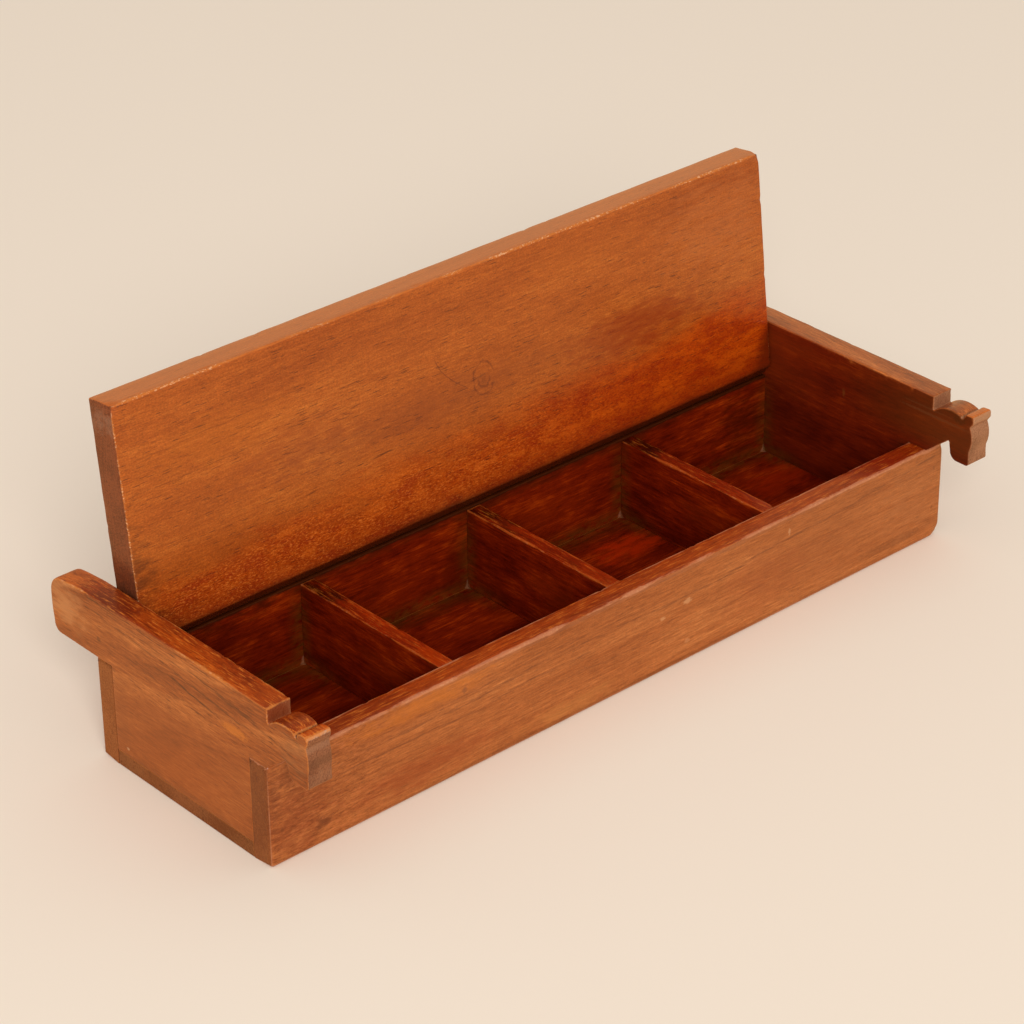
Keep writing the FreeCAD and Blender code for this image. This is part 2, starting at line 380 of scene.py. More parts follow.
def binned(recipe, wood):
    # inside the four bins: a darker, redder colour, with painted shade deepening towards the corners, and
    # dust there
    x, y, z = casePlace(recipe)
    inside = wood["innerFace"](recipe, x, y, z)
    beside = abs(x)
    fromMiddle = beside - binStep * recipe.step(beside, binStep - 0.5, binStep + 0.5) - binStep / 2
    sideways = ((binStep - dividerThick) / 2 - abs(fromMiddle)).most(0.0)
    upward = (z - floorTop).most(0.0)
    inward = (binDepth - abs(y)).most(0.0)
    nearest = sideways.least(upward).least(inward)
    farthest = sideways.most(upward).most(inward)
    corner = sideways + upward + inward - nearest - farthest
    ragged = recipe.cloud((0.25, 0.4, 0.4), 3.0, 0.6)
    deep = recipe.step(corner + (ragged - 0.5) * 8, 11.0, 1.0)
    low = recipe.step(z, wallTop + 1, wallTop - 1)
    mottle = recipe.cloud((0.07, 0.16, 0.16), 3.0, 0.6) - 0.5
    figure = (recipe.depth * 0.6 + recipe.streaks * 0.45 + (recipe.patches - 0.5) * 0.8
              + mottle * 0.9 + recipe.fibres * 0.55) * wood["oldContrast"]
    recipe.paint(inside, recipe.ramp(figure + 0.5, wood["binStops"]))
    # painted shade: darker towards the bins' corners, below the walls' tops
    recipe.paint(inside * deep * low * 0.28, (150, 110, 70), "MULTIPLY")
    nearFloor = recipe.step(upward, 42.0, 14.0) * recipe.step(inward, 26.0, 6.0)
    thin = recipe.step(ragged, 0.30, 0.62)
    dust = recipe.step(corner + (ragged - 0.5) * 6, 7.5, 0.5) * inside * thin * nearFloor * low
    recipe.paint(dust * wood["dustShare"], (104, 66, 18))
    rightSide = recipe.step(x * fromMiddle, -1, 1)
    heap = sideways + inward + upward * 0.5 + (ragged - 0.5) * 2.4
    crumbs = recipe.step(heap, 1.9, 0.7) * inside * low * recipe.step(y, -5, 5)
    recipe.paint(crumbs * (rightSide * 0.17 + 0.05), (206, 160, 124))
    recipe.inside = inside


def polishedAndShaded(recipe, wood):
    # upper faces: deeper and darker, partly from handling and partly as painted shade, with small pale rubs
    # along the grain
    up = recipe.step(recipe.attribute("upward"), 0.55, 0.85)
    # painted shade: the upper faces darkened and deepened by the top tone
    recipe.paint(up * wood["topShare"], wood["topTone"], "MULTIPLY")
    recipe.dull = up * wood["topDull"]
    rubs = recipe.cloud((0.14, 1.3, 1.3), 4.0, 0.7)
    spells = recipe.cloud((0.05, 0.25, 0.25), 3.0, 0.6)
    shaded = recipe.step(spells, 0.52, 0.36) * up * wood["rubShare"]
    recipe.paint(shaded * 0.6, (110, 32, 4))
    pale = recipe.step(rubs, 0.52, 0.68) * up
    dark = recipe.step(rubs, 0.46, 0.32) * up
    recipe.paint(pale * wood["rubShare"], (224, 124, 44))
    recipe.paint(dark * wood["rubShare"], (96, 28, 4))


def worn(recipe, wood):
    # rubbed arrises: the varnish thin and the wood paler, in ragged lengths
    gap = recipe.attribute("edgeGap")
    amount = recipe.attribute("wear")
    ragged = recipe.cloud((0.13, 0.7, 0.7), 4.0, 0.72)
    spells = recipe.cloud((0.05, 0.12, 0.12), 2.0, 0.5)
    reach = ((ragged - 0.5) * 2.6 + (spells - 0.46) * 3.0) * amount * wood["wearReach"]
    rubbed = recipe.step(gap - reach, 0.35, -0.20) * recipe.step(amount, 0.02, 0.15)
    recipe.paint(rubbed * wood["wearShare"], wood["wearTone"])
    tiny = recipe.cloud((0.8, 1.3, 1.3), 2.0, 0.6)
    nicks = recipe.step(gap, 0.6, 0.15) * recipe.step(tiny, 0.52, 0.64) * recipe.step(spells, 0.40, 0.60)
    recipe.paint(nicks * amount * wood["nickShare"], (226, 170, 126))
    recipe.rubbed = rubbed


def endGrained(recipe, wood):
    # the ends of the fibres: darker, greyer and duller than the faces, with ring lines and checks
    ends = recipe.step(recipe.attribute("endGrain"), 0.45, 0.8)
    checks = recipe.step(recipe.cloud(wood["checkScale"], 2.0, 0.6), 0.60, 0.70)
    dots = recipe.threads * 0.35 + recipe.fibres * 1.2 + (recipe.patches - 0.5) * 0.8
    lined = recipe.blend(recipe.step(dots, -0.22, 0.22), wood["endDark"], wood["endTone"])
    lined = recipe.blend(checks * 0.55, lined, wood["poreTone"])
    recipe.paint(ends * wood["endShare"], lined)
    recipe.height = recipe.height - ends * checks * 0.05
    recipe.ends = ends


def varnished(recipe, wood):
    roughness = (wood["roughness"] + (recipe.patches - 0.5) * 0.12 + recipe.pores * 0.12
                 + recipe.rubbed * 0.25 + recipe.ends * 0.15)
    coat = wood["coat"] * (1.0 - recipe.rubbed * 0.6) * (1.0 - recipe.ends * 0.4)
    coat = coat * (1.0 - recipe.dull)
    if wood["binned"]:
        coat = coat * (1.0 - recipe.inside * 0.95)
        roughness = roughness + recipe.inside * 0.12
    return recipe.surface({"Base Color": recipe.colour, "Roughness": roughness,
                           "Normal": recipe.bump(recipe.height * mm), "Specular IOR Level": wood["bareGloss"],
                           "Coat Weight": coat, "Coat Roughness": wood["coatRoughness"]})


def woodMaterial(name, wood, extras=()):
    recipe = Recipe(name)
    bareWood(recipe, wood)
    marked(recipe, wood, "marks")
    streaked(recipe, wood)
    if wood["binned"]:
        polishedAndShaded(recipe, wood)
        binned(recipe, wood)
    marked(recipe, wood, "binMarks", recipe.inside)
    for extra in extras:
        extra(recipe, wood)
    endGrained(recipe, wood)
    marked(recipe, wood, "endMarks", recipe.ends)
    worn(recipe, wood)
    return varnished(recipe, wood)


def wallFace(recipe, x, y, z):
    # the inner faces of the front and back boards and of the floor
    inward = recipe.step(abs(y), binDepth + 0.35, binDepth + 0.05)
    return inward * recipe.step(z, wallTop - 0.1, wallTop - 0.5)


def dividerFace(recipe, x, y, z):
    return recipe.step(z, dividerTop - 0.1, dividerTop - 0.5)


def armFace(recipe, x, y, z):
    return recipe.step(abs(x), endInner + 0.35, endInner + 0.05)


plainWood = {
    # the grain's frame: its origin in mm, its turn in degrees, and the tree's heart across it, in mm
    "origin": (0, 0, 0), "turn": (0, 0, 0), "heart": (60, -120),
    "taper": 0.0, "ringGap": 7.0, "wander": 7.0,
    # how strongly the parts of the figure show, and how fine some are along the grain
    "contrast": 0.7, "patchy": 0.8, "streaky": 0.5, "curly": 0.15, "rippled": 0.50, "fibrous": 0.75,
    "scratchy": 0.10, "fibreScale": 0.18, "poreGap": 0.17, "poreSize": 0.20,
    # colours, each from the darkest to the palest, and how much of each tint is laid on
    "stops": [(112, 38, 4), (154, 68, 12), (173, 84, 20), (204, 116, 38)],
    "poreTone": (66, 24, 14), "poreShare": 0.6,
    "topTone": (244, 190, 104), "topShare": 1.0, "topDull": 0.5, "rubShare": 0.5,
    "wearTone": (206, 122, 54), "wearReach": 1.0, "wearShare": 0.55, "nickShare": 0.4,
    "endTone": (130, 72, 34), "endDark": (108, 52, 22), "endShare": 0.8, "checkScale": (0.2, 1.3, 0.5),
    # inside the bins
    "binned": True, "innerFace": wallFace, "oldContrast": 0.85, "dustShare": 0.38,
    "binStops": [(44, 6, 1), (92, 17, 2), (123, 30, 2), (186, 68, 9)],
    # marks at their own places: X, then Y or Z as markAxis says, in mm and counted from edge
    "marks": [], "binMarks": [], "endMarks": [], "lines": [],
    "markAxis": 2, "edge": 0.0, "markFace": None,
    # the varnish
    "roughness": 0.40, "bareGloss": 0.15, "coat": 1.0, "coatRoughness": 0.20,
}

# Outlines: closed lines in the upright plane across the box, as complex numbers, in mm


def arcThrough(start, middle, end):
    # points on the arc, without its start
    one = middle - start
    two = end - start
    turnOver = 2 * (one.real * two.imag - one.imag * two.real)
    centre = start + 1j * (one * abs(two) ** 2 - two * abs(one) ** 2) / turnOver
    radius = start - centre
    angles = [np.angle((point - centre) / radius) for point in (middle, end)]
    if angles[0] * angles[1] < 0 or abs(angles[1]) < abs(angles[0]):
        angles[1] -= math.copysign(2 * math.pi, angles[1])
    count = max(4, int(abs(angles[1]) * abs(radius) / 0.15))
    return [centre + radius * np.exp(1j * angles[1] * (k + 1) / count) for k in range(count)]


def bulged(start, end, bulge):
    # an arc from start to end that bulges to the left of the way
    return arcThrough(start, (start + end) / 2 + 1j * bulge * (end - start) / abs(end - start), end)


def quarter(start, toCentre):
    # a quarter circle from start, clockwise about the centre that lies toCentre away
    centre = start + toCentre
    return arcThrough(start, centre - toCentre * np.exp(-0.25j * math.pi), centre + 1j * toCentre)


def rounded(corners):
    # a closed line round corners of (y, z, radius)
    line = []
    points = [complex(y, z) for y, z, _ in corners]
    for index, (_, _, radius) in enumerate(corners):
        here = points[index]
        back = (points[index - 1] - here) / abs(points[index - 1] - here)
        on = (points[(index + 1) % len(points)] - here) / abs(points[(index + 1) % len(points)] - here)
        half = abs(np.angle(on / back)) / 2
        reach = radius / math.tan(half)
        middle = here + (back + on) / abs(back + on) * radius * (1 / math.sin(half) - 1)
        line.append(here + back * reach)
        line += arcThrough(here + back * reach, middle, here + on * reach)
    return np.array(line)


def evened(line, step):
    # the same closed line with its points evenly spaced
    closed = np.append(line, line[0])
    run = np.concatenate(([0], np.cumsum(np.abs(np.diff(closed)))))
    count = int(round(run[-1] / step))
    return np.interp(np.arange(count) * run[-1] / count, run, closed)


def softened(line, width):
    # the same evened line with its corners rubbed round
    step = abs(line[1] - line[0])
    reach = int(3 * width / step)
    weights = np.exp(-0.5 * (np.arange(-reach, reach + 1) * step / width) ** 2)
    weights /= weights.sum()
    return sum(weight * np.roll(line, shift) for shift, weight in zip(range(-reach, reach + 1), weights))


def cornerGaps(line, step):
    # along the line from each point to the nearest outward corner
    span = max(1, int(0.7 / step))
    turning = np.angle((np.roll(line, -span) - line) / (line - np.roll(line, span)))
    corners = np.flatnonzero(turning > math.radians(24))
    if not len(corners):
        return np.full(len(line), 99.0)
    away = np.abs(np.arange(len(line))[:, None] - corners[None, :])
    return np.minimum(away, len(line) - away).min(axis=1) * step


def spaced(line, fine, coarse):
    # fewer points along the line, close together at its corners; with their corner gaps
    step = abs(line[1] - line[0])
    gaps = cornerGaps(line, step)
    bends = np.abs(np.angle((np.roll(line, -4) - line) / (line - np.roll(line, 4))))
    wanted = np.clip(fine + np.maximum(gaps - 0.8, 0) * 0.3, fine, coarse)
    wanted = np.minimum(wanted, np.clip(0.12 / np.maximum(bends / (4 * step), 1e-6), fine, coarse))
    run = np.concatenate(([0], np.cumsum(step / wanted)))
    count = int(round(run[-1]))
    places = np.interp(np.arange(count) * run[-1] / count, run, np.arange(len(line) + 1))
    index = np.arange(len(line) + 1)
    return (np.interp(places, index, np.append(line, line[0])),
            np.interp(places, index, np.append(gaps, gaps[0])))


# Boards: an outline drawn out along X, its ends rounded over and its faces filled


def wobble(points, scale, seed):
    # smooth unevenness from 0 to 1 at each point, scale in mm along each axis
    shift = Vector((seed * 7.3, seed * 3.1, seed * 5.7))
    size = Vector(scale)
    return np.array([0.5 + 0.5 * noise.noise(Vector((p[0] / size.x, p[1] / size.y, p[2] / size.z)) + shift)
                     for p in points])


def isInside(ring, point):
    # whether the closed line goes round the point
    ahead = ring - point
    return abs(np.angle(np.roll(ahead, -1) / ahead).sum()) > math.pi


def fillCap(ring, gap, coarse):
    # triangles inside a closed ring, with points between; returns those points and the triangles
    low = complex(ring.real.min(), ring.imag.min())
    high = complex(ring.real.max(), ring.imag.max())
    rows = np.arange(low.imag + coarse / 2, high.imag, coarse)
    columns = np.arange(low.real + coarse / 2, high.real, coarse)
    inner = [complex(y + (coarse / 2 if k % 2 else 0), z) for k, z in enumerate(rows) for y in columns]
    tangent = np.roll(ring, -1) - np.roll(ring, 1)
    support = ring + 1j * tangent / np.abs(tangent) * gap
    inner = [p for p in inner if np.abs(ring - p).min() > gap * 2.2]
    inner = inner + [p for p in support[::2] if np.abs(ring - p).min() > gap * 0.9]
    inner = [p for p in inner if isInside(ring, p)]
    count = len(ring)
    spots = list(ring) + inner
    points = [Vector((p.real, p.imag)) for p in spots]
    edges = [(k, (k + 1) % count) for k in range(count)]
    found = geometry.delaunay_2d_cdt(points, edges, [], 0, 1e-5, True)
    kept = [origins[0] if origins else -1 for origins in found[3]]
    faces = [[kept[k] for k in face] for face in found[2]]
    faces = [face for face in faces if -1 not in face and isInside(ring, sum(spots[k] for k in face) / 3)]
    return np.array(inner), faces


def boardMesh(plan):
    # a board's vertices in mm, its outward normals and faces, and how far from an arris each lies
    line = evened(plan["outline"], plan["step"])
    ring, corner = spaced(line, plan["fine"], plan["coarse"])
    count = len(ring)
    tangent = np.roll(ring, -1) - np.roll(ring, 1)
    inward = 1j * tangent / np.abs(tangent)
    arris = np.full(count, float(plan["arris"]))
    if "arrisAt" in plan:
        arris = np.array([plan["arrisAt"](p.real, p.imag) for p in ring])
    lowX, highX = plan["x"]
    widest = arris.max()
    inside = np.arange(1, int((highX - lowX - 2 * widest) / plan["stations"]))
    between = lowX + widest + inside * (highX - lowX - 2 * widest) / (len(inside) + 1)
    roundSteps = plan["roundSteps"]
    beyond = widest + plan["endInset"]
    rows = []
    for side, edge in ((1, lowX), (-1, highX)):
        for k in range(roundSteps + 1):
            angle = math.pi / 2 * k / roundSteps
            x = edge + side * arris * (1 - math.cos(angle))
            gap = arris * abs(angle - math.pi / 4)
            rows.append((x, ring + inward * arris * (1 - math.sin(angle)), gap,
                         math.cos(angle) * -side, math.sin(angle)))
        if side == 1:
            stations = [(lowX + beyond, widest + 0.1)]
            stations += [(x, min(x - lowX, highX - x)) for x in between]
            stations += [(highX - beyond, widest + 0.1)]
            rows += [(np.full(count, x), ring, np.full(count, gap), 0, 1) for x, gap in stations]
    rows = rows[:-(roundSteps + 1)] + rows[-(roundSteps + 1):][::-1]
    points = []
    normals = []
    gaps = []
    for x, at, gap, towardX, towardSide in rows:
        points.append(np.stack((x, at.real, at.imag), axis=1))
        outward = -inward * towardSide
        normals.append(np.stack((np.full(count, towardX), outward.real, outward.imag), axis=1))
        gaps.append(np.minimum(gap, corner))
    faces = []
    for row in range(len(rows) - 1):
        for k in range(count):
            on = (k + 1) % count
            faces.append((row * count + k, row * count + on, (row + 1) * count + on, (row + 1) * count + k))
    total = len(rows) * count
    for row, x, toward in ((0, lowX, -1), (len(rows) - 1, highX, 1)):
        edge = rows[row][1]
        inner, triangles = fillCap(edge, plan["capGap"], plan["coarse"])
        points.append(np.stack((np.full(len(inner), x), inner.real, inner.imag), axis=1))
        normals.append(np.tile((float(toward), 0.0, 0.0), (len(inner), 1)))
        gaps.append(np.array([np.abs(edge - p).min() + 0.7 * widest for p in inner]))
        for triangle in triangles:
            face = [row * count + k if k < count else total + k - count for k in triangle]
            faces.append(face if toward > 0 else face[::-1])
        total += len(inner)
    return np.concatenate(points), np.concatenate(normals), faces, np.concatenate(gaps)


def rubBoard(plan, points, normals, gaps, wear):
    # the surface eased inwards: planing marks, arrises rubbed unevenly, and small knocks
    seed = plan["seed"]
    depth = plan["unevenness"] * wobble(points, plan["planing"], seed)
    near = np.exp(-(gaps / plan["rubReach"]) ** 2)
    depth += plan["rubbing"] * near * wear * wobble(points, plan["rubScale"], seed + 11)
    eased = points - normals * depth[:, None]
    chooser = np.random.default_rng(seed)
    edges = np.flatnonzero((gaps < 0.5) & (wear > 0.3))
    dents = [(points[chooser.choice(edges)], chooser.uniform(*plan["knockReach"]),
              chooser.uniform(*plan["knockDepth"])) for _ in range(plan["knocks"] if len(edges) else 0)]
    for centre, reach, deep in dents + plan["dents"]:
        share = np.clip(1 - (np.linalg.norm(points - centre, axis=1) / reach) ** 2, 0, 1) ** 2
        hit = share > 0
        eased[hit] -= normals[hit] * (share[hit] * deep)[:, None]
    return eased


def makeBoard(plan):
    points, normals, faces, gaps = boardMesh(plan)
    wear = np.array([plan["wearAt"](*p) for p in points])
    grained = np.abs(normals[:, {"x": 0, "y": 1}[plan["grain"]]])
    upward = normals[:, 2]
    eased = rubBoard(plan, points, normals, gaps, wear)
    eased = np.clip(eased, points.min(axis=0).clip(plan["low"]), points.max(axis=0).clip(None, plan["high"]))
    mesh = bpy.data.meshes.new(plan["name"])
    mesh.from_pydata([tuple(p) for p in eased * mm], [], faces)
    for name, values in (("edgeGap", gaps), ("wear", wear), ("endGrain", grained), ("upward", upward)):
        mesh.attributes.new(name, "FLOAT", "POINT").data.foreach_set("value", values.astype(np.float32))
    if "place" in plan:
        mesh.transform(plan["place"])
    mesh.polygons.foreach_set("use_smooth", [True] * len(mesh.polygons))
    mesh.materials.append(plan["material"])
    mesh.validate()
    piece = bpy.data.objects.new(plan["name"], mesh)
    scene.collection.objects.link(piece)
    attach(piece, plan["body"])
    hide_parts(plan["node"])
    print("made", plan["name"], len(mesh.polygons), "faces")


plainBoard = {
    # mm between points: along the outline at first, at its corners and on its flats, and along X
    "step": 0.15, "fine": 0.3, "coarse": 2.0, "stations": 1.5,
    # the rounded ends: their radius, their rings, the first full ring and the cap's first points
    "arris": 0.5, "roundSteps": 4, "endInset": 0.35, "capGap": 0.5,
    # planing marks, rubbing by the arrises and knocks: their depths and reaches, in mm
    "unevenness": 0.07, "planing": (80, 30, 30), "rubbing": 0.2, "rubReach": 0.8, "rubScale": (9, 7, 7),
    "knocks": 12, "knockReach": (0.8, 2.4), "knockDepth": (0.10, 0.38), "dents": [],
    "grain": "x", "body": "case", "seed": 1, "low": (-160, -67.8, 0), "high": (160, 70.4, 130.4),
}

# The case's boards


def fromBox(node, radii):
    # a plain board's outline and ends; radii from its low front corner round by the back
    low, high = nodeBox(node)
    corners = ((low.y, low.z), (high.y, low.z), (high.y, high.z), (low.y, high.z))
    outline = rounded([(y, z, radius) for (y, z), radius in zip(corners, radii)])
    return {"node": node, "outline": outline, "x": (low.x, high.x)}


def topWear(x, y, z):
    # most on the upper edge, least at the foot
    return 0.25 + 0.75 * min(1, max(0, (z - wallTop + 6) / 5))


def backWear(x, y, z):
    # the lid's heel covers all but the last few mm of its upper edge
    return (0.3 if y > 41 else 0.02) * topWear(x, y, z)


def wallArris(away):
    # sharp where a wall meets the dividers, rounder outside; away in mm from its inner face
    return min(1.5, max(0.08, away * 0.2))


def bradSpots(places, reach, share, colour):
    # the dark spots over filled brads
    return [(place, (reach, reach), share, colour) for place in places]


frontWood = plainWood | {
    "heart": (-150, 78), "ringGap": 6.0, "fibreScale": 0.14, "rippled": 0.6,
    "wearShare": 0.62, "wearReach": 0.8, "wearTone": (200, 132, 96), "poreTone": (84, 38, 26),
    "poreShare": 0.48, "nickShare": 0.2, "scratchy": 0.16, "topDull": 0.75, "patchy": 0.6,
    "rubShare": 0.52, "stops": [(112, 46, 16), (152, 78, 33), (171, 95, 45), (202, 126, 68)],
    "topTone": (240, 174, 84),
    "marks": [
        ((-95, 35), (38, 5), 0.45, (206, 112, 24)), ((-95, 10), (40, 7), 0.35, (142, 44, 6)),
        ((66, 18), (24, 16), 0.25, (146, 50, 8)), ((-30, 5), (24, 4.5), 0.40, (196, 126, 62)),
        ((-150, 14), (20, 24), 0.62, (122, 44, 13)), ((-138, 8), (4, 4), 0.45, (74, 34, 14)),
        ((132, 6), (22, 2.4), 0.4, (96, 40, 14)), ((27, 24.5), (2.6, 1.3), 0.42, (226, 170, 120)),
        ((15, 22), (1.6, 0.9), 0.45, (220, 160, 110)), ((78, 32.4), (0.7, 1.6), 0.5, (214, 164, 120)),
        ((27, 8), (1.6, 1.0), 0.35, (214, 150, 100)), ((-154.5, 29.8), (1.1, 1.1), 0.3, (84, 38, 16)),
        ((-152, 31), (7, 7), 0.35, (112, 52, 24)), ((0, 1.0), (175, 1.6), 0.35, (84, 36, 14)),
        *bradSpots(endBrads[:1] + endBrads[2:], 0.9, 0.4, (80, 36, 16)),
        ((-76.6, 32.4), (1.3, 1.3), 0.45, (112, 62, 44)), ((0, 32.4), (0.9, 0.9), 0.3, (96, 44, 18)),
        ((0, 37.6), (150, 0.9), 0.4, (146, 88, 60)), ((133, 39.3), (24, 1.2), 0.8, (134, 30, 1)),
        ((-118, 39.3), (30, 1.0), 0.4, (112, 34, 6)), ((146, 20), (22, 24), 0.25, (172, 104, 60)),
        ((100, 20), (55, 30), 0.25, (170, 100, 55)), ((-159, 26), (5, 17), 0.6, (114, 52, 24)),
        ((155.5, 39.3), (6, 1.0), 0.5, (116, 72, 36)),
    ],
    "lines": [
        ((-122, 52), (27.5, 27.5), 0.9, 0.42), ((40, 158), (28, 34.5), 0.8, 0.5),
        ((-132, -18), (23.5, 22.5), 0.7, 0.45), ((-100, 20), (31, 30), 0.5, 0.3),
        ((-60, 90), (17, 15), 0.5, 0.25),
    ],
}


def rippled(recipe, wood):
    # the left end's lively grain: close crossing waves, lighter and darker
    x, y, z = casePlace(recipe)
    zone = recipe.step(x, -98, -126) * recipe.step(z, 40, 37)
    waves = recipe.cloud((0.32, 0.9, 1.1), 4.0, 0.75)
    recipe.paint(recipe.step(waves, 0.50, 0.68) * zone * 0.45, (200, 112, 62))
    recipe.paint(recipe.step(waves, 0.48, 0.32) * zone * 0.6, (98, 34, 10))


makeBoard(plainBoard | fromBox("front_board", (1.2, 0.3, 0.5, 1.0)) | {
    "name": "frontBoard", "slot": "wall_wood", "wearAt": topWear, "knocks": 30, "seed": 3,
    "dents": [(np.array((160, -46, 0)), 5, 1.3), (np.array((160, -46, 39)), 4, 0.6)],
    "arrisAt": lambda y, z: wallArris(frontHigh.y - y),
    "material": woodMaterial("frontWood", frontWood, (rippled,)),
})

backWood = plainWood | {
    "heart": (120, -90), "wearShare": 0.3, "bareGloss": 0.03, "endTone": (156, 95, 54),
    "endDark": (132, 75, 39),
    "marks": [
        ((-79, 38.3), (4, 0.7), 0.5, (190, 130, 80)), ((-15, 38.3), (4, 0.7), 0.5, (190, 130, 80)),
        ((36, 38.2), (5, 0.6), 0.4, (180, 120, 70)), ((95, 38.3), (6, 0.6), 0.35, (180, 120, 70)),
        ((-120, 38.2), (7, 0.6), 0.35, (180, 120, 70)), *bradSpots(endBrads, 0.9, 0.4, (80, 36, 16)),
        *bradSpots(dividerBrads, 0.9, 0.3, (96, 44, 18)),
    ],
    "binMarks": [
        # the dark patches are painted shade in the bins, and the dark band along the top is painted shade
        # under the lid
        ((-118, 26), (30, 14), 0.35, (60, 8, 1)), ((-122, 35), (34, 4), 0.5, (60, 10, 1)),
        ((30, 22), (36, 10), 0.25, (132, 38, 2)), ((-40, 18), (26, 12), 0.20, (124, 34, 2)),
        ((0, 37), (152, 2.6), 0.55, (70, 22, 4)), ((138, 22), (16, 18), 0.55, (54, 15, 1)),
        ((-8, 18), (9, 16), 0.4, (56, 10, 1)),
    ],
}


def heelShadowed(recipe, wood):
    # the upper edge under the lid's heel, black with old polish and with the lid's painted shadow
    y, z = casePlace(recipe)[1:]
    ragged = recipe.cloud((0.15, 1.0, 1.0), 3.0, 0.6) - 0.5
    shade = recipe.step(z + ragged * 2.0, wallTop - 1.6, wallTop - 0.4) * recipe.step(y, 44.8, 43.8)
    recipe.paint(shade * 0.94, (50, 18, 4))
    recipe.dull = shade * 0.9


makeBoard(plainBoard | fromBox("back_board", (0.3, 1.2, 0.9, 0.6)) | {
    "name": "backBoard", "slot": "wall_wood", "wearAt": backWear,
    "arrisAt": lambda y, z: wallArris(y - backLow.y), "knocks": 20, "seed": 4,
    "material": woodMaterial("backWood", backWood, (heelShadowed,)),
})

bottomWood = plainWood | {
    "heart": (10, -60), "markAxis": 1, "bareGloss": 0.03, "endTone": (152, 98, 60),
    "endDark": (128, 77, 44),
    "binMarks": [
        # red patches of painted light at the rear of bins 2 to 4; the darker front half and the other dark
        # marks are painted shade
        ((59, 18), (17, 9), 0.80, (172, 40, 1)), ((137, 17), (20, 10), 0.55, (150, 34, 1)),
        ((-14, 12), (18, 8), 0.35, (136, 36, 2)), ((-96, 20), (18, 8), 0.30, (60, 12, 1)),
        ((0, 31), (150, 3.5), 0.35, (66, 30, 5)), ((0, -10), (150, 16), 0.4, (60, 12, 1)),
    ],
    "endMarks": [((-160, 16), (6, 13), 0.35, (160, 96, 54)), ((-160, -20), (6, 8), 0.30, (122, 66, 34))],
}
makeBoard(plainBoard | fromBox("bottom_board", (0.2, 0.2, 0.2, 0.2)) | {
    "name": "bottomBoard", "slot": "bottom_wood", "arris": 0.3, "wearAt": lambda x, y, z: 0.1,
    "knocks": 0, "seed": 5, "stations": 2.5, "material": woodMaterial("bottomWood", bottomWood),
})

dividerWood = plainWood | {
    "turn": (0, 0, 90), "heart": (40, 60), "innerFace": dividerFace,
    "stops": [(60, 12, 1), (104, 26, 1), (138, 44, 3), (190, 84, 12)], "coat": 0.6, "rubShare": 0.35,
    "bareGloss": 0.03, "wearShare": 0.45, "wearTone": (196, 96, 34), "nickShare": 0.12,
}
for number in (1, 2, 3):
    node = "divider_%d" % number
    along, across = 40 * number, 9 * number    # each from another part of the plank
    wood = dividerWood | {
        "origin": (nodeBox(node)[0].x, along, across),
        # the dark mark is painted shade over each divider's rear, the orange one painted light over its front
        "marks": [((32 - along, 38 - across), (22, 40), 0.92, (44, 7, 1)),
                  ((-34 - along, 38 - across), (14, 40), 0.72 - 0.22 * number, (204, 90, 16))],
        # on the sides: a red patch and a dark patch of painted shade
        "binMarks": [((-12 - along, 24 - across), (22, 9), 0.3, (126, 40, 4)),
                     ((22 - along, 12 - across), (16, 12), 0.3, (46, 8, 1))],
    }
    makeBoard(plainBoard | fromBox(node, (0.2, 0.2, 0.3, 0.3)) | {
        "name": "divider%d" % number, "slot": "divider_wood", "arris": 0.45, "wearAt": topWear, "knocks": 6,
        "seed": 10 + number, "grain": "y", "stations": 1.2,
        "material": woodMaterial("dividerWood%d" % number, wood),
    })

# The end boards, each with its long arm and carved nose

armShape = {
    # mm forward of the front board and below the arm's top, over the nose and down its face
    "notch": (1.7, 5.8), "hump": (15.2, 3.2), "groove": (15.8, 4.6), "browBack": (16.5, 2.5),
    "brow": (21.8, 1.6), "lip": (21.8, 4.1), "recess": (20.8, 6.1), "belly": (21.75, 11.2),
    "chin": (21.4, 16.0),
    "humpBulge": 2.1, "browRound": 1.1, "browEnd": 80.0,    # mm, mm and degrees
    # mm forward of the front board and above its top, back under the nose
    "root": (10.0, 7.8), "droopReach": 11.0, "droopRound": 3.4, "chinLift": 1.7, "chinRound": 1.3,
    # mm, the rounded overhang behind
    "rearFall": 1.3, "rearFallLength": 20.0, "shoulderBack": 6.4, "shoulderDrop": 8.0,
    "shoulderBulge": 1.8, "rearTuck": 0.9, "rearHeel": 3.6,
}


